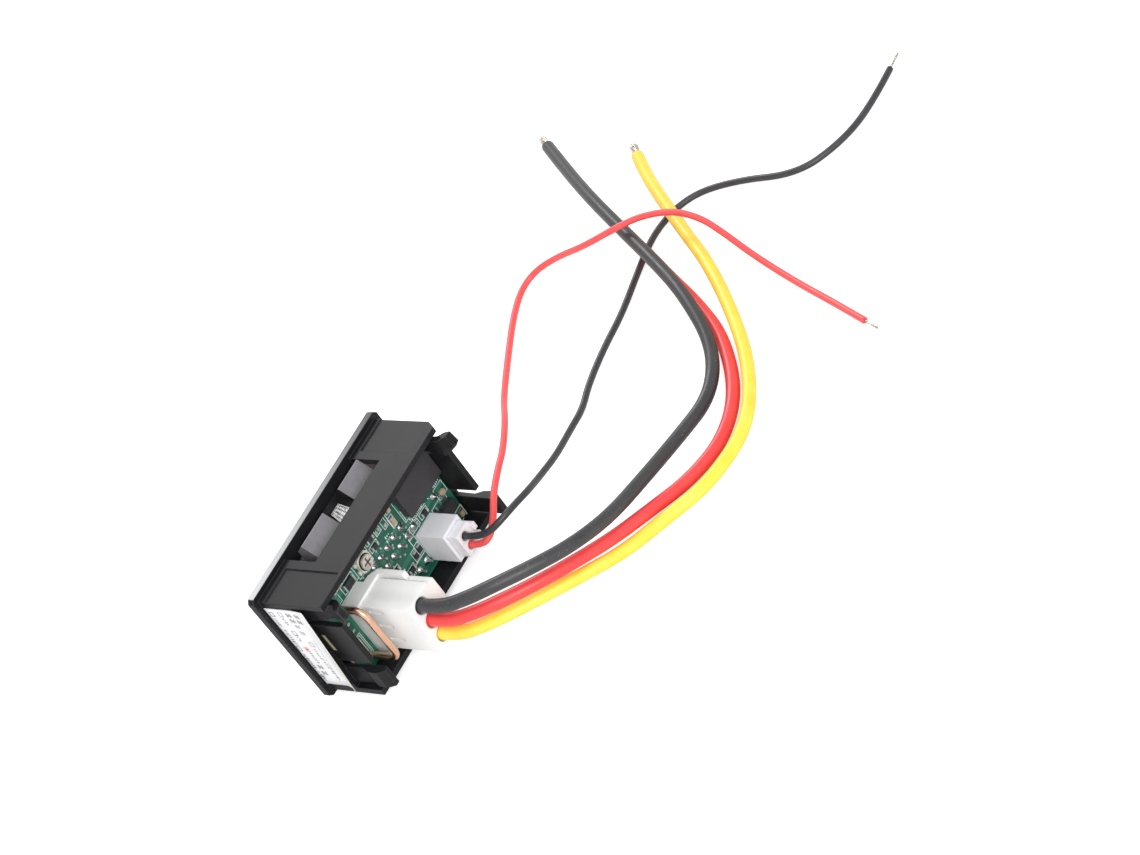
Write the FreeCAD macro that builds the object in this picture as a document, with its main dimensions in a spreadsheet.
import FreeCAD, Part
import math
import os
import re
import Sketcher

# Panel meter in millimetres.  The origin lies in the plane where the bezel
# rests on a panel, at the centre of the cutout.  +Y points to the back.

os.makedirs("parts", exist_ok=True)
doc = FreeCAD.newDocument("panel_meter")

SIZES = {
    # moulded case
    "bezel_width": "48",
    "bezel_height": "29",
    "bezel_thick": "1.9",
    "bezel_corner": "0.9",
    "bezel_chamfer": "0.5",
    "overhang": "1.3",
    "wall": "1.3",
    "case_depth": "16.4",
    "lower_depth": "14.2",
    "rim_cut_deep": "2.2",
    "rim_cut_wide": "1.4",
    "slot_width": "25",
    "slot_depth": "8.1",
    "panel_start": "14.5",
    "panel_recess": "0.3",
    "panel_depth": "15.2",
    "band_depth": "1.6",
    "post_width": "2.0",
    "post_inset": "4.6",
    "post_drop": "5.5",
    "tab_inset": "3.5",
    "tab_thick": "1.2",
    "tab_low": "4.6",
    "tab_high": "6.0",
    "tab_depth": "16.0",
    "arm_inset": "3.0",
    "arm_thick": "1.2",
    "arm_depth": "19.5",
    "arm_drop": "3.3",
    "arm_width": "4.4",
    "arm_short": "1.5",
    # window and displays
    "window_margin_x": "5",
    "window_margin_z": "4.5",
    "window_lip": "0.7",
    "window_thick": "1.0",
    "window_sink": "0.2",
    "window_gap": "0.1",
    "display_middle": "-1.55",
    "display_width": "21.7",
    "display_front": "0.15",
    "display_back": "6.6",
    "upper_low": "-0.3",
    "upper_drop": "1.35",
    "upper_brow": "1.5",
    "upper_ridge": "2.0",
    "ridge_wide": "0.3",
    "ramp_end": "4.7",
    "upper_step_drop": "4.3",
    "lower_rise": "3.8",
    "lower_high": "-0.7",
    "recess_width": "5.8",
    "digit_width": "4.4",
    "digit_height": "7.6",
    "digit_pitch": "7.1",
    "stroke": "0.9",
    "stroke_thick": "0.08",
    # circuit board
    "board_front": "7.6",
    "board_thick": "1.6",
    "board_inset_x": "3.7",
    "board_inset_z": "2.9",
    "tongue_inset": "2.5",
    "tongue_low": "1.9",
    "tongue_height": "4.8",
    "pin_pitch": "2.54",
    "pin_first": "-8.7",
    "pin_width": "0.5",
    "pin_reach": "1.6",
    "solder_width": "1.8",
    "solder_top": "0.7",
    "solder_height": "1.4",
    # load connector
    "load_left": "7.2",
    "load_right": "14.2",
    "load_skirt": "2.15",
    "load_brow": "2.1",
    "load_base_top": "13.2",
    "load_front": "13.3",
    "load_back": "25.7",
    "load_axis": "11.2",
    "load_pitch": "3.95",
    "load_rise": "12.0",
    "load_pin": "1.0",
    "load_bore": "1.16",
    "load_hole": "3.5",
    "load_lead_start": "24.4",
    # power connector
    "power_left": "-13.4",
    "power_right": "-7.5",
    "power_low": "-10.35",
    "power_high": "-3.2",
    "power_shroud": "0.7",
    "power_base_top": "11.0",
    "power_top": "16.5",
    "power_front": "11.6",
    "power_back": "19.0",
    "power_axis": "-10.2",
    "power_pitch": "2.5",
    "power_first": "-5.6",
    "power_pin": "0.6",
    "power_bore": "0.74",
    "power_hole": "2.0",
    "power_lead_start": "18.2",
    # parts on the board
    "shunt_wire": "1.4",
    "shunt_axis": "17.2",
    "shunt_low": "-8.4",
    "shunt_high": "5.4",
    "shunt_top": "17.9",
    "shunt_bend": "2.2",
    "trimmer_across": "5.3",
    "trimmer_up": "4.7",
    "trimmer_width": "3.6",
    "trimmer_base": "1.0",
    "trimmer_corner": "0.5",
    "tongue_wide": "0.9",
    "tongue_out": "0.5",
    "tongue_thick": "0.5",
    "tongue_pitch": "2.1",
    "rotor_width": "3.0",
    "rotor_height": "0.5",
    "rotor_lift": "0.2",
    "rotor_stem": "1.4",
    "rotor_slot": "0.35",
    "block_margin": "0.1",
    "block_right": "-8.4",
    "block_low": "1.0",
    "block_drop": "2.6",
    "block_height": "1.8",
    "regulator_margin": "1.6",
    "regulator_right": "-14.2",
    "regulator_low": "-7.4",
    "regulator_high": "-4.9",
    "regulator_height": "1.5",
    "regulator_lead": "0.5",
    "regulator_pitch": "1.5",
    "lead_out": "1.2",
    "lead_thick": "0.5",
    # labels and leads
    "label_thick": "0.15",
    "label_rise": "3.3",
    "label_drop": "3.1",
    "label_flat": "5.4",
    "label_depth_low": "9.0",
    "label_depth_high": "10.4",
    "label_lift_low": "1.4",
    "label_lift_high": "0.35",
    "thick_lead": "2.8",
    "thin_lead": "1.4",
    "thick_tip": "1.6",
    "thin_tip": "0.8",
    "tip_length": "4.5",
}


# Places that follow from the sizes above.
HALF_X = "(bezel_width / 2)"
HALF_Z = "(bezel_height / 2)"
BOARD_X = "(bezel_width / 2 - board_inset_x)"
BOARD_Z = "(bezel_height / 2 - board_inset_z)"
WINDOW_X = "(bezel_width / 2 - window_margin_x)"
WINDOW_Z = "(bezel_height / 2 - window_margin_z)"
POST_INNER = "(bezel_width / 2 - post_inset)"
TAB_INNER = "(bezel_width / 2 - tab_inset)"
ARM_INNER = "(bezel_width / 2 - arm_inset)"
ARM_TOP = "(bezel_height / 2 - arm_drop)"
UPPER_TOP = "(bezel_height / 2 - upper_drop)"
UPPER_STEP = "(bezel_height / 2 - upper_step_drop)"
LOWER_BASE = "(-bezel_height / 2 + lower_rise)"
LOAD_FIRST = "(-bezel_height / 2 + board_inset_z + load_rise)"
LOAD_LOW = "(-bezel_height / 2 + board_inset_z + load_rise - 2 * load_pitch - load_skirt)"
LOAD_HIGH = "(-bezel_height / 2 + board_inset_z + load_rise + load_brow)"
BLOCK_LEFT = "(-bezel_width / 2 + board_inset_x + block_margin)"
BLOCK_HIGH = "(bezel_height / 2 - upper_step_drop - block_drop)"
REGULATOR_LEFT = "(-bezel_width / 2 + board_inset_x + regulator_margin)"


def make_sheet():
    """Spreadsheet with one named cell for each driving size."""
    sheet = doc.addObject("Spreadsheet::Sheet", "Sizes")
    for row, (alias, value) in enumerate(SIZES.items(), start=1):
        sheet.set("A%d" % row, alias)
        sheet.set("B%d" % row, value)
        sheet.setAlias("B%d" % row, alias)
    doc.recompute()
    return sheet


sheet = make_sheet()


def size(alias):
    """Current value of a named size."""
    return float(sheet.get(alias))


def bound(text):
    """Expression text whose size names point into the sheet."""
    def point(found):
        word = found.group(0)
        return "Sizes." + word if word in SIZES else word
    return re.sub(r"[a-z_]+", point, text)


def place(item, x, y, z):
    """Bind the position of a solid."""
    for axis, text in zip("xyz", (x, y, z)):
        item.setExpression("Placement.Base." + axis, bound(text))


def block(label, x, y, z):
    """Box between bound low and high values on each axis."""
    item = doc.addObject("Part::Box", label)
    for side, (low, high) in zip(("Length", "Width", "Height"), (x, y, z)):
        item.setExpression(side, bound("(%s) - (%s)" % (high, low)))
    place(item, x[0], y[0], z[0])
    return item


# Turns a solid that stands on its base so that it points to the back.
UPRIGHT = FreeCAD.Rotation(FreeCAD.Vector(1, 0, 0), -90)


def rod(label, x, z, low, high, width):
    """Round bar along the depth of the meter."""
    item = doc.addObject("Part::Cylinder", label)
    item.setExpression("Radius", bound("(%s) / 2" % width))
    item.setExpression("Height", bound("(%s) - (%s)" % (high, low)))
    item.Placement = FreeCAD.Placement(FreeCAD.Vector(), UPRIGHT)
    place(item, x, low, z)
    return item


def cone(label, x, z, low, high, width, top):
    """Tapered peg along the depth of the meter."""
    item = doc.addObject("Part::Cone", label)
    item.setExpression("Radius1", bound("(%s) / 2" % width))
    item.setExpression("Radius2", bound("(%s) / 2" % top))
    item.setExpression("Height", bound("(%s) - (%s)" % (high, low)))
    item.Placement = FreeCAD.Placement(FreeCAD.Vector(), UPRIGHT)
    place(item, x, low, z)
    return item


def fuse(label, items):
    """One solid from touching or overlapping solids."""
    item = doc.addObject("Part::MultiFuse", label)
    item.Shapes = items
    item.Refine = True
    return item


def cut(label, base, tool):
    """Solid with a tool taken away."""
    item = doc.addObject("Part::Cut", label)
    item.Base = base
    item.Tool = tool
    item.Refine = True
    return item


def group(label, items):
    """Separate solids kept together as one sub-part."""
    item = doc.addObject("Part::Compound", label)
    item.Links = items
    return item


def add_sketch(body, role, level):
    """Sketch on one of the body's own origin planes, at a bound level."""
    sketch = body.newObject("Sketcher::SketchObject", body.Label + "_sketch")
    plane = [item for item in body.Origin.OriginFeatures if item.Role == role][0]
    sketch.AttachmentSupport = [(plane, "")]
    sketch.MapMode = "FlatFace"
    sketch.setExpression("AttachmentOffset.Base.z", bound(level))
    return sketch


def draw_polygon(sketch, corners):
    """Closed outline whose corners are bound to the sheet."""
    count = len(corners)
    ring = []
    for step in range(count):
        angle = 2 * math.pi * step / count
        ring.append(FreeCAD.Vector(5 * math.cos(angle), 5 * math.sin(angle), 0))
    first = sketch.GeometryCount
    for step in range(count):
        sketch.addGeometry(Part.LineSegment(ring[step], ring[(step + 1) % count]))
    for step in range(count):
        here = first + step
        after = first + (step + 1) % count
        sketch.addConstraint(Sketcher.Constraint("Coincident", here, 2, after, 1))
    for step, corner in enumerate(corners):
        start = (ring[step].x, ring[step].y)
        for kind, text, value in zip(("DistanceX", "DistanceY"), corner, start):
            limit = Sketcher.Constraint(kind, -1, 1, first + step, 1, float(value))
            index = sketch.addConstraint(limit)
            sketch.setExpression("Constraints[%d]" % index, bound(text))


def rectangle(low, high):
    """Corners of an upright rectangle from two opposite ones."""
    return [low, (high[0], low[1]), high, (low[0], high[1])]


def prism(label, role, level, length, corners, reverse=False):
    """Body with one outline pushed out from a level."""
    body = doc.addObject("PartDesign::Body", label)
    sketch = add_sketch(body, role, level)
    draw_polygon(sketch, corners)
    pad = body.newObject("PartDesign::Pad", label + "_pad")
    pad.Profile = sketch
    pad.setExpression("Length", bound(length))
    pad.Reversed = reverse
    return body


def sink(body, label, role, level, length, corners, reverse=False):
    """Pocket with a bound outline in an existing body."""
    sketch = add_sketch(body, role, level)
    draw_polygon(sketch, corners)
    pocket = body.newObject("PartDesign::Pocket", label)
    pocket.Profile = sketch
    pocket.setExpression("Length", bound(length))
    pocket.Reversed = reverse
    return pocket


def outer_face(shape, direction):
    """Name of the face that lies furthest out along a direction."""
    centres = [face.CenterOfMass.dot(direction) for face in shape.Faces]
    return "Face%d" % (centres.index(max(centres)) + 1)


FRONT = FreeCAD.Vector(0, -1, 0)


def make_bezel():
    """Front frame with clipped corners, a soft front edge and the window seat."""
    half = (HALF_X, HALF_Z)
    clip = (HALF_X + " - bezel_corner", HALF_Z + " - bezel_corner")
    corners = []
    for sx, sz in (("", ""), ("-", ""), ("-", "-"), ("", "-")):
        outer = (sx + "(" + half[0] + ")", sz + "(" + clip[1] + ")")
        inner = (sx + "(" + clip[0] + ")", sz + "(" + half[1] + ")")
        corners += [outer, inner] if sx == sz else [inner, outer]
    bezel = prism("bezel", "XZ_Plane", "0 * bezel_thick", "bezel_thick", corners)
    doc.recompute()
    frame = bezel.Tip
    edge = bezel.newObject("PartDesign::Chamfer", "bezel_edge")
    edge.Base = (frame, [outer_face(frame.Shape, FRONT)])
    edge.setExpression("Size", bound("bezel_chamfer"))
    doc.recompute()
    sink(bezel, "window_hole", "XZ_Plane", "bezel_thick", "bezel_thick",
         rectangle(("-" + WINDOW_X, "-" + WINDOW_Z), (WINDOW_X, WINDOW_Z)))
    seat_x = "(" + WINDOW_X + " + window_lip)"
    seat_z = "(" + WINDOW_Z + " + window_lip)"
    sink(bezel, "window_seat", "XZ_Plane", "bezel_thick", "window_thick + window_sink",
         rectangle(("-" + seat_x, "-" + seat_z), (seat_x, seat_z)))
    return bezel


def make_upper_wall():
    """Long wall on the upper side: slot, sunk end panels and one clipped rim corner."""
    side = "(bezel_width / 2 - overhang)"
    top = "bezel_height / 2 - overhang"
    corners = [
        ("-" + side, "-0.3"), (side, "-0.3"), (side, "case_depth"),
        ("-" + side + " + rim_cut_wide", "case_depth"),
        ("-" + side, "case_depth - rim_cut_deep"),
    ]
    wall = prism("upper_wall", "XY_Plane", top + " - wall", "wall", corners)
    sink(wall, "display_slot", "XY_Plane", top, "2 * wall",
         rectangle(("-slot_width / 2", "-1"), ("slot_width / 2", "slot_depth")))
    sink(wall, "left_panel", "XY_Plane", top, "panel_recess",
         rectangle(("-" + side + " - 1", "band_depth"), ("-panel_start", "panel_depth")))
    sink(wall, "right_panel", "XY_Plane", top, "panel_recess",
         rectangle(("panel_start", "band_depth"), (side + " + 1", "panel_depth + 0.4")))
    return wall


def make_plain_walls():
    """Lower long wall, both short walls and the posts that carry the board."""
    side = "(bezel_width / 2 - overhang)"
    top = "(bezel_height / 2 - overhang)"
    walls = [block("lower_wall", ("-" + side, side), ("-0.3", "lower_depth"),
                   ("-" + top, "-" + top + " + wall"))]
    for name, low, high in (("right", side + " - wall", side), ("left", "-" + side, "-" + side + " + wall")):
        walls.append(block(name + "_wall", (low, high), ("-0.3", "board_front"),
                           ("-" + top + " + wall / 2", top + " - wall / 2")))
    for name, low in (("right", POST_INNER), ("left", "-" + POST_INNER + " - post_width")):
        for level, bottom in (("upper", HALF_Z + " - post_drop"), ("lower", "-" + top + " + wall / 2")):
            span = "(post_drop - overhang - wall / 2)"
            walls.append(block(name + "_" + level + "_post", (low, low + " + post_width"),
                               ("-0.3", "board_front"), (bottom, bottom + " + " + span)))
    return walls


def make_tabs():
    """Wide tongue at the middle of each short side."""
    right = block("right_tab", (TAB_INNER, TAB_INNER + " + tab_thick"), ("-0.3", "tab_depth"),
                  ("-tab_low", "tab_high"))
    left = block("left_tab", ("-" + TAB_INNER + " - tab_thick", "-" + TAB_INNER), ("-0.3", "tab_depth"),
                 ("-tab_low", "tab_high"))
    return [right, left]


def arm_outline(sign, depth):
    """Side view of a latch arm: root that leans inwards, waist and a blunt hook."""
    steps = (("0", "-0.3"), ("-0.4", depth + " - 6.5"), ("-0.6", depth + " - 0.5"),
             ("-0.4", depth), ("0.6", depth), ("1.4", depth + " - 1.9"),
             ("1.3", depth + " - 4.1"), ("0.5", depth + " - 5.9"), ("arm_thick", "-0.3"))
    return [(sign + "(" + ARM_INNER + " + " + out + ")", along) for out, along in steps]


def make_arms():
    """Four sprung latch arms, two on each short side; the lower right one is shorter."""
    arms = []
    for name, sign in (("right", ""), ("left", "-")):
        for level, bottom in (("upper", ARM_TOP + " - arm_width"), ("lower", "-" + ARM_TOP)):
            depth = "arm_depth - arm_short" if name + level == "rightlower" else "arm_depth"
            arms.append(prism(name + "_" + level + "_arm", "XY_Plane", bottom,
                              "arm_width", arm_outline(sign, depth)))
    return arms


def make_housing():
    """Case moulded in one piece: frame, walls, posts, tabs and latch arms."""
    solids = [make_bezel(), make_upper_wall()] + make_plain_walls() + make_tabs() + make_arms()
    whole = fuse("case_solid", solids)
    slot = block("tongue_slot", (TAB_INNER + " - 1", HALF_X),
                 ("board_front - 0.2", "board_front + board_thick + 0.2"),
                 ("-tongue_low - 0.1", "-tongue_low + tongue_height + 0.1"))
    return cut("housing", whole, slot)


def make_window():
    """Tinted plate that sits in the seat of the front frame."""
    edge_x = "(" + WINDOW_X + " + window_lip - window_gap)"
    edge_z = "(" + WINDOW_Z + " + window_lip - window_gap)"
    return block("display_window", ("-" + edge_x, edge_x),
                 ("-bezel_thick + window_sink", "-bezel_thick + window_sink + window_thick"),
                 ("-" + edge_z, edge_z))


def display_pegs(name, low, high):
    """Four short pegs that hold a display off the board."""
    pegs = []
    for column, x in enumerate(("display_middle - display_width / 2 + 0.6",
                                "display_middle + display_width / 2 - 1.8")):
        for row, z in enumerate((low + " + 0.2", high + " - 1.6")):
            pegs.append(block("%s_peg_%d_%d" % (name, column, row), (x, x + " + 1.2"),
                              ("display_back - 0.2", "board_front"), (z, z + " + 1.2")))
    return pegs


def make_upper_display():
    """Display behind the upper half of the window; its sloped top fills the wall's slot."""
    left = "display_middle - display_width / 2"
    profile = [("display_front", "upper_low"), ("display_back", "upper_low"),
               ("display_back", UPPER_STEP), ("ramp_end", UPPER_STEP),
               ("upper_ridge + ridge_wide", UPPER_TOP), ("upper_ridge", UPPER_TOP),
               ("display_front", UPPER_TOP + " - upper_brow")]
    body = prism("upper_display_body", "YZ_Plane", left, "display_width", profile)
    middle = "display_middle - 0.42"
    niche = block("display_niche", (middle + " - recess_width / 2", middle + " + recess_width / 2"),
                  ("display_front + 0.6", "display_back + 1"), (UPPER_STEP, UPPER_TOP + " + 1"))
    shell = cut("upper_display_shell", body, niche)
    return fuse("voltage_display", [shell] + display_pegs("upper", "upper_low", UPPER_STEP))


def make_lower_display():
    """Plain display behind the lower half of the window."""
    left = "display_middle - display_width / 2"
    body = block("lower_display_body", (left, left + " + display_width"),
                 ("display_front", "display_back"), (LOWER_BASE, "lower_high"))
    return fuse("current_display", [body] + display_pegs("lower", LOWER_BASE, "lower_high"))


def digit_strokes(name, middle, base):
    """Seven separate bars of one digit."""
    half = "(digit_width / 2)"
    across = (middle + " - " + half + " + stroke", middle + " + " + half + " - stroke")
    bars = []
    for row, z in enumerate((base, base + " + digit_height / 2 - stroke / 2",
                             base + " + digit_height - stroke")):
        bars.append(("flat%d" % row, across, (z, z + " + stroke")))
    for row, z in enumerate((base + " + stroke", base + " + digit_height / 2 + stroke / 2")):
        span = (z, z + " + digit_height / 2 - 1.5 * stroke")
        bars.append(("left%d" % row, (middle + " - " + half, across[0]), span))
        bars.append(("right%d" % row, (across[1], middle + " + " + half), span))
    depth = ("display_front - stroke_thick", "display_front")
    return [block(name + "_" + part, x, depth, z) for part, x, z in bars]


def make_digits():
    """Three unlit digits on each display, each as seven thin bars."""
    bars = []
    for row, base in (("upper", "upper_low + 1.7"), ("lower", LOWER_BASE + " + 1.3")):
        for column in range(3):
            middle = "display_middle + %d * digit_pitch" % (column - 1)
            bars += digit_strokes("%s_digit%d" % (row, column), middle, base)
    return group("digit_segments", bars)


PIN_ROWS = (("voltage_far", UPPER_STEP + " - 1.5", 0), ("voltage_near", "upper_low + 1.4", 1),
            ("current_near", "lower_high - 0.8", 0), ("current_far", LOWER_BASE + " + 1.8", 1))


def pin_places():
    """Name, position across and height of every display pin."""
    for name, height, first in PIN_ROWS:
        for column in range(first, 6):
            yield "%s_%d" % (name, column), "pin_first + %d * pin_pitch" % column, height


def make_pins():
    """Display pins that pass through the board."""
    top = "board_front + board_thick + pin_reach"
    pins = [rod("pin_" + name, x, z, "display_back", top, "pin_width")
            for name, x, z in pin_places()]
    return group("display_pins", pins)


def make_solder():
    """Solder cones round the display pins and one spare joint."""
    face = "board_front + board_thick"
    joints = [cone("joint_" + name, x, z, face, face + " + solder_height", "solder_width", "solder_top")
              for name, x, z in pin_places()]
    bores = [rod("bore_" + name, x, z, face + " - 1", face + " + solder_height + 1", "pin_width")
             for name, x, z in pin_places()]
    joints.append(cone("joint_spare", "6.4", "0.9", face, face + " + solder_height",
                       "solder_width - 0.3", "solder_top"))
    joints.append(cone("joint_pad", "-" + BOARD_X + " + 3.9", "-2.0", face, face + " + 0.5",
                       "solder_width - 0.4", "solder_top"))
    return cut("solder_joints", group("solder_solid", joints), group("solder_bores", bores))


def load_rows():
    """Heights of the three load contacts."""
    return [LOAD_FIRST + " - %d * load_pitch" % row for row in range(3)]


def power_rows():
    """Heights of the two power contacts."""
    return ["power_first - %d * power_pitch" % row for row in range(2)]


def make_board():
    """Green board with a tongue at the right edge and a hole for every pin and leg."""
    back = "board_front + board_thick"
    plate = block("board_plate", ("-" + BOARD_X, BOARD_X), ("board_front", back),
                  ("-" + BOARD_Z, BOARD_Z))
    tongue = block("board_tongue", (BOARD_X + " - 1", HALF_X + " - tongue_inset"), ("board_front", back),
                   ("-tongue_low", "-tongue_low + tongue_height"))
    ends = ("board_front - 1", back + " + 1")
    holes = [rod("hole_" + name, x, z, ends[0], ends[1], "pin_width") for name, x, z in pin_places()]
    holes += [rod("load_hole_%d" % i, "load_axis", z, ends[0], ends[1], "load_pin")
              for i, z in enumerate(load_rows())]
    holes += [rod("power_hole_%d" % i, "power_axis", z, ends[0], ends[1], "power_pin")
              for i, z in enumerate(power_rows())]
    holes += [rod("shunt_hole_%d" % i, "shunt_axis", z, ends[0], ends[1], "shunt_wire")
              for i, z in enumerate(("shunt_low", "shunt_high"))]
    return cut("circuit_board", fuse("board_solid", [plate, tongue]), group("board_holes", holes))


def make_shunt():
    """Thick copper staple that carries the load current."""
    foot = "board_front - 0.8"
    legs = [rod("shunt_leg_%d" % i, "shunt_axis", z, foot, "shunt_top - shunt_bend", "shunt_wire")
            for i, z in enumerate(("shunt_low", "shunt_high"))]
    bar = doc.addObject("Part::Cylinder", "shunt_bar")
    bar.setExpression("Radius", bound("shunt_wire / 2"))
    bar.setExpression("Height", bound("shunt_high - shunt_low - 2 * shunt_bend"))
    place(bar, "shunt_axis", "shunt_top", "shunt_low + shunt_bend")
    bends = []
    for name, z, turn in (("low", "shunt_low + shunt_bend", -90), ("high", "shunt_high - shunt_bend", 0)):
        bend = doc.addObject("Part::Torus", "shunt_bend_" + name)
        bend.setExpression("Radius1", bound("shunt_bend"))
        bend.setExpression("Radius2", bound("shunt_wire / 2"))
        bend.Angle3 = 90
        upright = FreeCAD.Rotation(FreeCAD.Vector(0, 1, 0), 90)
        about = FreeCAD.Rotation(FreeCAD.Vector(1, 0, 0), 90 + turn)
        bend.Placement = FreeCAD.Placement(FreeCAD.Vector(), about.multiply(upright))
        place(bend, "shunt_axis", "shunt_top - shunt_bend", z)
        bends.append(bend)
    return fuse("shunt", legs + [bar] + bends)


def make_trimmer():
    """Small trimmer: clipped base with three tongues, and a stemmed disc with a cross slot."""
    face = "board_front + board_thick"
    top = face + " + trimmer_base"
    low, high = "trimmer_up - trimmer_width / 2", "trimmer_up + trimmer_width / 2"
    left, right = "trimmer_across - trimmer_width / 2", "trimmer_across + trimmer_width / 2"
    corner = " trimmer_corner"
    outline = [(left + " +" + corner, low), (right + " -" + corner, low), (right, low + " +" + corner),
               (right, high + " -" + corner), (right + " -" + corner, high), (left + " +" + corner, high),
               (left, high + " -" + corner), (left, low + " +" + corner)]
    solids = [prism("trimmer_block", "XZ_Plane", "-(%s)" % face, "trimmer_base", outline, True)]
    for name, edge, middle in (("inner", left + " - tongue_out", "trimmer_up"),
                               ("upper", right, "trimmer_up + tongue_pitch / 2"),
                               ("lower", right, "trimmer_up - tongue_pitch / 2")):
        solids.append(block("trimmer_tongue_" + name, (edge, edge + " + tongue_out"),
                            (face, face + " + tongue_thick"),
                            (middle + " - tongue_wide / 2", middle + " + tongue_wide / 2")))
    under = top + " + rotor_lift"
    stem = rod("rotor_stem_rod", "trimmer_across", "trimmer_up", top, under, "rotor_stem")
    disc = rod("rotor_disc", "trimmer_across", "trimmer_up", under, under + " + rotor_height", "rotor_width")
    reach = "rotor_width * 0.36"
    depth = (under + " + rotor_height / 2", under + " + rotor_height + 1")
    slots = []
    for name, wide, tall in (("across", reach, "rotor_slot / 2"), ("upright", "rotor_slot / 2", reach)):
        slots.append(block("rotor_slot_" + name,
                           ("trimmer_across - " + wide, "trimmer_across + " + wide), depth,
                           ("trimmer_up - " + tall, "trimmer_up + " + tall)))
    rotor = cut("trimmer_rotor", fuse("rotor_solid", [stem, disc]), fuse("rotor_cross", slots))
    return [fuse("trimmer_base", solids), rotor]


def make_potted_block():
    """Flat black block with clipped corners over the left end of the board."""
    clip = "0.5"
    left, right, low, high = BLOCK_LEFT, "block_right", "block_low", BLOCK_HIGH
    corners = [(left, low), (right + " - " + clip, low), (right, low + " + " + clip),
               (right, high), (left + " + " + clip, high), (left, high + " - " + clip)]
    return prism("potted_block", "XZ_Plane", "-(board_front + board_thick)", "block_height",
                 corners, True)


def make_regulator():
    """Regulator with three short leads on one side and a wide one on the other."""
    face = "board_front + board_thick"
    body = block("voltage_regulator", (REGULATOR_LEFT, "regulator_right"),
                 (face, face + " + regulator_height"), ("regulator_low", "regulator_high"))
    leads = []
    middle = "(" + REGULATOR_LEFT + " + regulator_right) / 2"
    for row in (-1, 0, 1):
        left = middle + " + %d * regulator_pitch - regulator_lead / 2" % row
        leads.append(block("regulator_lead_%d" % (row + 1), (left, left + " + regulator_lead"),
                           (face, face + " + lead_thick"), ("regulator_high", "regulator_high + lead_out")))
    half = " regulator_pitch / 2"
    leads.append(block("regulator_heel", (middle + " -" + half, middle + " +" + half),
                       (face, face + " + lead_thick"), ("regulator_low - 0.8", "regulator_low")))
    return [body, group("regulator_leads", leads)]


# Chips that lie flat on the board: name, middle across, middle up, along the row or not.
RESISTORS = (("load", 10.6, LOAD_HIGH + " + 2.2", True), ("sense", 1.05, UPPER_STEP + " - 4.2", True),
             ("pull", 1.1, UPPER_STEP + " - 6.1", True), ("filter", 0.8, -3.8, True),
             ("bias", -6.4, LOWER_BASE + " + 5.1", False), ("feed", -4.9, LOWER_BASE + " + 4.9", False),
             ("start", -12.3, -2.0, True), ("clamp", -2.2, LOWER_BASE + " + 3.8", True))
CAPACITORS = (("input", -6.2, UPPER_STEP + " - 3.6", False), ("output", -5.6, 3.5, False),
              ("bulk", 13.0, UPPER_STEP + " - 3.6", True),
              ("supply", "-" + BOARD_X + " + 2.0", -2.9, True),
              ("corner", "-" + BOARD_X + " + 1.2", LOWER_BASE + " + 0.6", False))


def chip(name, middle, up, along):
    """Body and two end caps of one chip."""
    face = "board_front + board_thick"
    length, width, height = ("2.6", "1.6", "0.6") if name == "load" else ("1.3", "0.9", "0.5")
    across, tall = (length, width) if along else (width, length)
    x = ("%s - %s / 2" % (middle, across), "%s + %s / 2" % (middle, across))
    z = ("%s - %s / 2" % (up, tall), "%s + %s / 2" % (up, tall))
    depth = (face, face + " + " + height)
    body = block("chip_" + name, x, depth, z)
    caps = []
    for step, sign in enumerate(("-", "+")):
        if along:
            edge = x[0] + " - 0.35" if sign == "-" else x[1]
            caps.append(block("cap_%s_%d" % (name, step), (edge, edge + " + 0.35"), depth, z))
        else:
            edge = z[0] + " - 0.35" if sign == "-" else z[1]
            caps.append(block("cap_%s_%d" % (name, step), x, depth, (edge, edge + " + 0.35")))
    return body, caps


def make_chips():
    """Chip resistors, chip capacitors and all their end caps."""
    caps = []
    groups = []
    for label, chips in (("chip_resistors", RESISTORS), ("chip_capacitors", CAPACITORS)):
        bodies = []
        for one in chips:
            body, ends = chip(*one)
            bodies.append(body)
            caps += ends
        groups.append(group(label, bodies))
    return groups + [group("chip_end_caps", caps)]


def make_load_header():
    """White board header with an upright guide and three contact pins."""
    face = "board_front + board_thick"
    profile = [("load_left + 1.6", face), ("load_right + 0.5", face),
               ("load_right + 0.5", "load_base_top"), ("load_left - 0.6", "load_base_top"),
               ("load_left - 0.6", "load_base_top + 6.4"), ("load_left - 1.8", "load_base_top + 6.4"),
               ("load_left - 1.8", "load_base_top - 0.8"), ("load_left", "load_base_top - 2.2"),
               ("load_left + 1.6", "load_base_top - 2.3")]
    solid = prism("load_header_body", "XY_Plane", LOAD_LOW + " - 1.15",
                  LOAD_HIGH + " - " + LOAD_LOW + " + 1.75", profile)
    bores = [rod("load_header_bore_%d" % i, "load_axis", z, face + " - 1", "load_base_top + 1", "load_pin")
             for i, z in enumerate(load_rows())]
    pins = [rod("load_pin_%d" % i, "load_axis", z, "board_front - 0.8", "load_base_top + 5.8", "load_pin")
            for i, z in enumerate(load_rows())]
    return [cut("load_header", solid, group("load_header_bores", bores)),
            group("load_header_pins", pins)]


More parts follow.
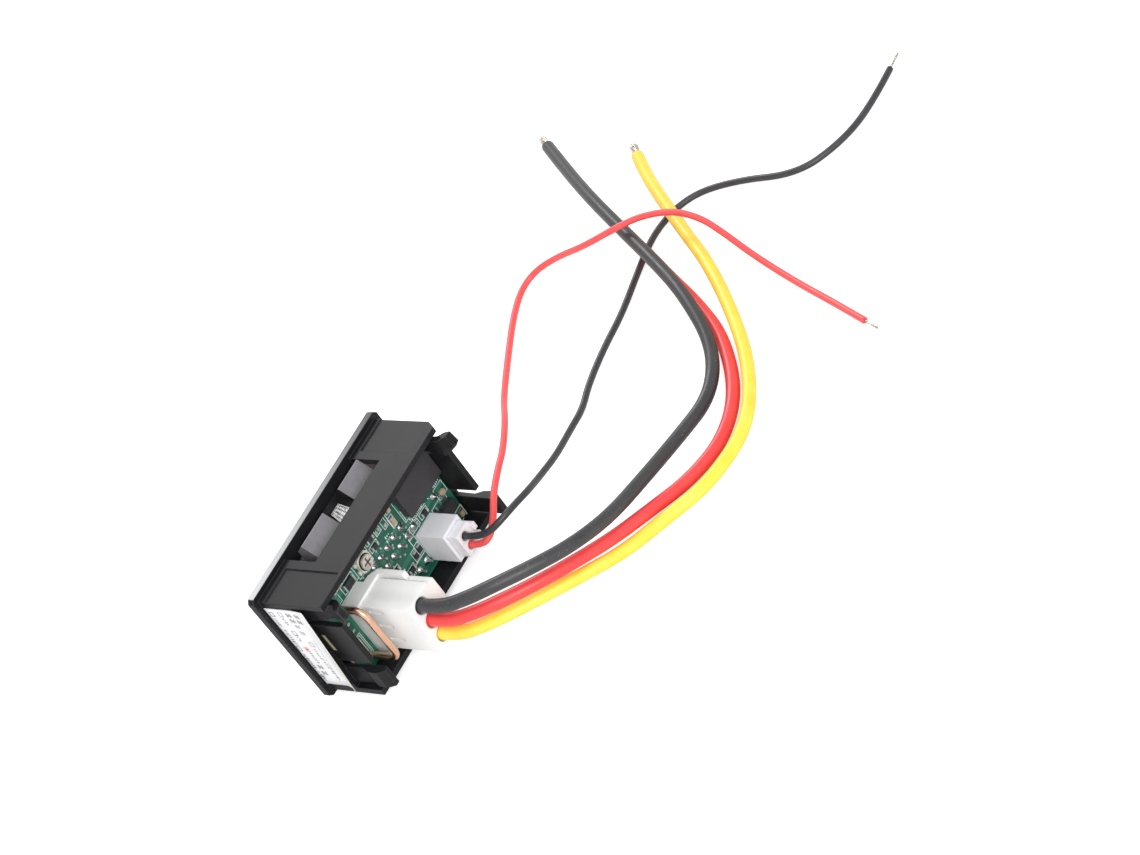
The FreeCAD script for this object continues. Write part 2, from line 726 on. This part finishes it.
def make_load_plug():
    """White plug with three wire holes, three inspection slots and a latch arm."""
    body = block("load_plug_block", ("load_left", "load_right"), ("load_front", "load_back"),
                 (LOAD_LOW, LOAD_HIGH))
    root = block("load_latch_root", ("load_left - 0.7", "load_left + 1"),
                 ("load_back - 1.4", "load_back"), (LOAD_LOW + " + 0.65", LOAD_HIGH + " - 0.7"))
    arm = block("load_latch_arm", ("load_left - 1.7", "load_left - 0.6"),
                ("load_back - 5.6", "load_back"), (LOAD_LOW + " + 0.65", LOAD_HIGH + " - 0.7"))
    holes = []
    for row, z in enumerate(load_rows()):
        holes.append(rod("load_plug_hole_%d" % row, "load_axis", z, "load_front - 1",
                         "load_back + 1", "load_hole"))
        holes.append(block("load_slot_%d" % row, ("load_right - 0.6", "load_right + 1"),
                           ("load_front + 1.3", "load_front + 4.9"), (z + " + 0.3", z + " + 1.1")))
    return cut("load_plug", fuse("load_plug_solid", [body, root, arm]),
               fuse("load_plug_holes", holes))


def make_terminals(label, prefix, axis, rows, start, end, outer, bore, depth):
    """Crimp sockets: a tube over each pin and a solid barrel where the lead enters."""
    barrels = [rod("%s_barrel_%d" % (prefix, i), axis, z, start, end, outer) for i, z in enumerate(rows)]
    bores = [rod("%s_socket_%d" % (prefix, i), axis, z, start + " - 1", depth, bore)
             for i, z in enumerate(rows)]
    return cut(label, group(prefix + "_barrels", barrels), group(prefix + "_sockets", bores))


def make_power_header():
    """White shroud, open to the back, with two contact pins."""
    face = "board_front + board_thick"
    shell = block("power_header_block", ("power_left", "power_right"), (face, "power_top"),
                  ("power_low", "power_high"))
    well = block("power_header_well", ("power_left + power_shroud", "power_right - power_shroud"),
                 ("power_base_top", "power_top + 1"),
                 ("power_low + power_shroud", "power_high - power_shroud"))
    gap = block("power_header_gap", ("power_left - 1", "power_left + 2 * power_shroud"),
                ("power_base_top + 1.4", "power_top + 1"), ("power_low + 2", "power_high - 2"))
    bores = [rod("power_header_bore_%d" % i, "power_axis", z, face + " - 1", "power_top", "power_pin")
             for i, z in enumerate(power_rows())]
    pins = [rod("power_pin_%d" % i, "power_axis", z, "board_front - 0.8", "power_top - 0.4", "power_pin")
            for i, z in enumerate(power_rows())]
    return [cut("power_header", shell, fuse("power_header_tools", [well, gap] + bores)),
            group("power_header_pins", pins)]


def make_power_plug():
    """White two-way plug with two rounded ribs on the side that faces the case wall."""
    side = "power_shroud + 0.1"
    left, right = "power_left + " + side, "power_right - power_shroud - 0.1"
    low, high = "power_low + " + side, "power_high - power_shroud - 0.1"
    body = block("power_plug_block", (left, right), ("power_front", "power_back"), (low, high))
    ribs = []
    for row, z in enumerate(power_rows()):
        ribs.append(block("power_rib_%d" % row, ("power_left + 0.1", "power_left + 1.2"),
                          ("power_top + 0.5", "power_back + 0.8"), (z + " - 0.75", z + " + 0.75")))
    holes = [rod("power_plug_hole_%d" % i, "power_axis", z, "power_front - 1", "power_back + 1", "power_hole")
             for i, z in enumerate(power_rows())]
    return cut("power_plug", fuse("power_plug_solid", [body] + ribs), group("power_plug_holes", holes))


def label_section(name, level, lift, depth):
    """Cross-section of the rating label: flat at the front, then bending away from the wall."""
    sketch = doc.addObject("Sketcher::SketchObject", "label_section_" + name)
    sketch.setExpression("Placement.Base.z", bound(level))
    wall_face = HALF_X + " - overhang"
    path = [("0.02", "0.2"), ("0.02", "label_flat")]
    for step in (0.25, 0.5, 0.75, 1.0):
        path.append(("%s * %.4f + 0.02" % (lift, step ** 2),
                     "label_flat + (%s - label_flat) * %.2f" % (depth, step)))
    inner = [(wall_face + " + " + out, along) for out, along in path]
    outer = [(wall_face + " + label_thick + " + out, along) for out, along in reversed(path)]
    draw_polygon(sketch, inner + outer)
    return sketch


def make_rating_label():
    """Label on the right wall whose back edge has come away, most at its lower end."""
    label = doc.addObject("Part::Loft", "rating_label")
    label.Sections = [
        label_section("low", "-" + HALF_Z + " + label_rise", "label_lift_low", "label_depth_low"),
        label_section("high", HALF_Z + " - label_drop", "label_lift_high", "label_depth_high")]
    label.Solid = True
    label.Ruled = True
    return label


def make_date_label():
    """Small pale label on the floor of the upper display's niche."""
    left = "display_middle - 0.4"
    return block("date_label", (left, left + " + 2.8"), ("display_front + 0.8", "display_back - 0.6"),
                 (UPPER_STEP, UPPER_STEP + " + 0.08"))


BLACK_LOAD = [(11.2, 24.4, 0.4), (11.2, 30.4, 0.4), (9.0, 35.9, 0.9), (5.0, 41.0, 0.8),
              (-0.4, 45.6, -0.4), (-7.6, 49.3, -2.7), (-17.0, 51.2, -5.5), (-28.5, 50.8, -8.4),
              (-40.9, 50.3, -11.3), (-52.9, 51.6, -12.2), (-64.4, 46.5, -10.9),
              (-75.4, 34.5, -8.3), (-83.5, 22.9, -7.7), (-93.7, 7.1, -7.6),
              (-102.2, -5.6, -8.2), (-113.0, -20.3, -10.9), (-122.5, -32.7, -12.8)]
RED_LOAD = [(11.2, 24.4, -3.55), (11.2, 30.0, -3.55), (9.2, 35.1, -3.2), (5.4, 39.9, -3.5),
            (0.2, 44.2, -4.6), (-6.7, 47.9, -6.6), (-14.8, 51.0, -9.2), (-23.9, 53.7, -11.5),
            (-33.2, 57.4, -13.1), (-43.4, 59.6, -13.1), (-55.6, 55.6, -13.1),
            (-68.9, 45.0, -13.0), (-76.7, 34.7, -12.3), (-82.0, 26.0, -11.2),
            (-87.4, 17.9, -10.9), (-93.3, 8.7, -10.9), (-100.4, -1.9, -11.5)]
YELLOW_LOAD = [(11.2, 24.4, -7.5), (11.2, 29.8, -7.5), (9.3, 34.7, -7.0), (5.6, 39.5, -7.1),
               (0.4, 43.9, -8.0), (-6.5, 48.3, -9.9), (-14.3, 52.6, -12.1), (-22.9, 56.3, -13.1),
               (-32.5, 62.2, -13.1), (-46.6, 63.5, -13.1), (-61.3, 55.9, -13.0),
               (-73.8, 45.6, -11.7), (-86.4, 32.9, -10.9), (-95.3, 21.6, -10.8),
               (-104.2, 10.9, -11.1), (-112.9, 0.7, -12.3), (-119.2, -5.6, -13.1)]
RED_SUPPLY = [(-10.2, 18.2, -8.1), (-10.2, 21.8, -8.1), (-11.4, 25.2, -7.4), (-14.6, 26.8, -6.0),
              (-18.4, 25.4, -4.8), (-22.0, 21.8, -4.4), (-27.2, 17.2, -5.4), (-36.9, 9.5, -8.9),
              (-49.7, 0.1, -11.9), (-63.4, -8.4, -13.8), (-74.2, -13.6, -13.8),
              (-81.4, -15.7, -13.6), (-85.8, -13.5, -12.5), (-87.4, -6.8, -10.1),
              (-86.2, 3.4, -5.9), (-89.6, 10.0, -4.6), (-93.4, 15.2, -4.6), (-95.2, 22.4, -5.1),
              (-94.3, 29.2, -6.2), (-92.2, 34.9, -8.1), (-89.0, 43.0, -12.1),
              (-83.6, 55.4, -13.8), (-78.1, 67.7, -13.8), (-74.1, 76.2, -13.8)]
BLACK_SUPPLY = [(-10.2, 18.2, -5.6), (-10.2, 21.8, -5.6), (-10.9, 25.3, -4.8), (-13.2, 27.8, -3.6),
                (-17.0, 28.8, -3.6), (-21.2, 28.6, -4.8), (-26.9, 26.1, -7.7), (-35.0, 24.0, -10.5),
                (-43.3, 21.2, -12.7), (-49.6, 20.0, -13.7), (-55.9, 17.7, -13.8),
                (-65.5, 16.0, -13.8), (-75.2, 15.3, -13.8), (-87.6, 12.6, -13.8),
                (-98.3, 10.8, -13.8), (-107.9, 14.1, -13.8), (-112.1, 24.1, -13.8),
                (-113.6, 39.3, -13.8), (-122.3, 45.7, -13.8), (-132.3, 48.0, -13.8),
                (-143.5, 47.4, -13.8)]
LEADS = (("black_load", "thick", BLACK_LOAD), ("red_load", "thick", RED_LOAD),
         ("yellow_load", "thick", YELLOW_LOAD), ("red_supply", "thin", RED_SUPPLY),
         ("black_supply", "thin", BLACK_SUPPLY))


def lead_path(points):
    """Straight runs joined by tangent arcs, and the radius of each arc."""
    spots = [FreeCAD.Vector(*point) for point in points]
    edges = []
    radii = []
    start = spots[0]
    for before, here, after in zip(spots, spots[1:], spots[2:]):
        arriving = here.sub(before)
        leaving = after.sub(here)
        reach = 0.45 * min(arriving.Length, leaving.Length)
        turn = arriving.getAngle(leaving)
        radius = reach / math.tan(turn / 2)
        arriving.normalize()
        leaving.normalize()
        entry = here - arriving * reach
        leave = here + leaving * reach
        inward = leaving - arriving
        inward.normalize()
        middle = here + inward * (radius / math.cos(turn / 2) - radius)
        edges.append(Part.LineSegment(start, entry).toShape())
        edges.append(Part.Arc(entry, middle, leave).toShape())
        radii.append(radius)
        start = leave
    edges.append(Part.LineSegment(start, spots[-1]).toShape())
    return Part.Wire(edges), radii


def add_lead(label, width, points):
    """Round tube along a lead's route."""
    path, radii = lead_path(points)
    along = FreeCAD.Vector(*points[1]) - FreeCAD.Vector(*points[0])
    ring = Part.Wire([Part.Circle(FreeCAD.Vector(*points[0]), along, width / 2).toShape()])
    tube = path.makePipeShell([ring], True, True)
    if tube.Volume < 0:
        tube.reverse()
    lead = doc.addObject("Part::Feature", label)
    lead.Shape = tube
    expected = math.pi * width ** 2 / 4 * path.Length
    print("%s length %.1f mm, volume ratio %.4f, smallest radius %.1f mm (%.1f widths)" % (
        label, path.Length, tube.Volume / expected, min(radii), min(radii) / width))
    return lead


def add_tip(label, width, points):
    """Bare tinned strands that stick out of a lead's far end."""
    end = FreeCAD.Vector(*points[-1])
    along = end - FreeCAD.Vector(*points[-2])
    along.normalize()
    tip = doc.addObject("Part::Feature", label)
    tip.Shape = Part.makeCylinder(width / 2, size("tip_length"), end, along)
    return tip


def make_leads():
    """Five leads and their tinned ends."""
    items = []
    for name, kind, points in LEADS:
        items.append(add_lead(name + "_lead", size(kind + "_lead"), points))
        items.append(add_tip(name + "_tip", size(kind + "_tip"), points))
    return items


def make_all():
    """Every sub-part of the meter."""
    parts = [make_housing(), make_window(), make_upper_display(), make_lower_display(),
             make_digits(), make_pins(), make_solder(), make_board(), make_shunt()]
    parts += make_trimmer()
    parts.append(make_potted_block())
    parts += make_regulator() + make_chips() + make_load_header()
    parts.append(make_load_plug())
    parts.append(make_terminals("load_terminals", "load", "load_axis", load_rows(),
                                "load_front + 0.9", "load_lead_start", "load_hole - 0.3",
                                "load_bore", "load_base_top + 6.6"))
    parts += make_power_header()
    parts.append(make_power_plug())
    parts.append(make_terminals("power_terminals", "power", "power_axis", power_rows(),
                                "power_front + 0.7", "power_lead_start", "power_hole - 0.2",
                                "power_bore", "power_top + 0.2"))
    parts += [make_rating_label(), make_date_label()]
    return parts + make_leads()


parts = make_all()
doc.recompute()

failed = [item.Label for item in doc.Objects if "Invalid" in item.State or "Error" in item.State]
if failed:
    raise RuntimeError("failed objects: " + ", ".join(failed))
for part in parts:
    shape = part.Shape
    if shape.isNull() or not shape.isValid() or shape.Volume <= 0:
        raise RuntimeError("bad shape: " + part.Label)
for part in parts:
    part.Shape.exportStep("parts/" + part.Label + ".step")
    box = part.Shape.BoundBox
    print("%-20s solids %2d volume %8.2f  x %6.1f..%6.1f  y %6.1f..%6.1f  z %6.1f..%6.1f" % (
        part.Label, len(part.Shape.Solids), part.Shape.Volume,
        box.XMin, box.XMax, box.YMin, box.YMax, box.ZMin, box.ZMax))
print("%d sub-parts" % len(parts))
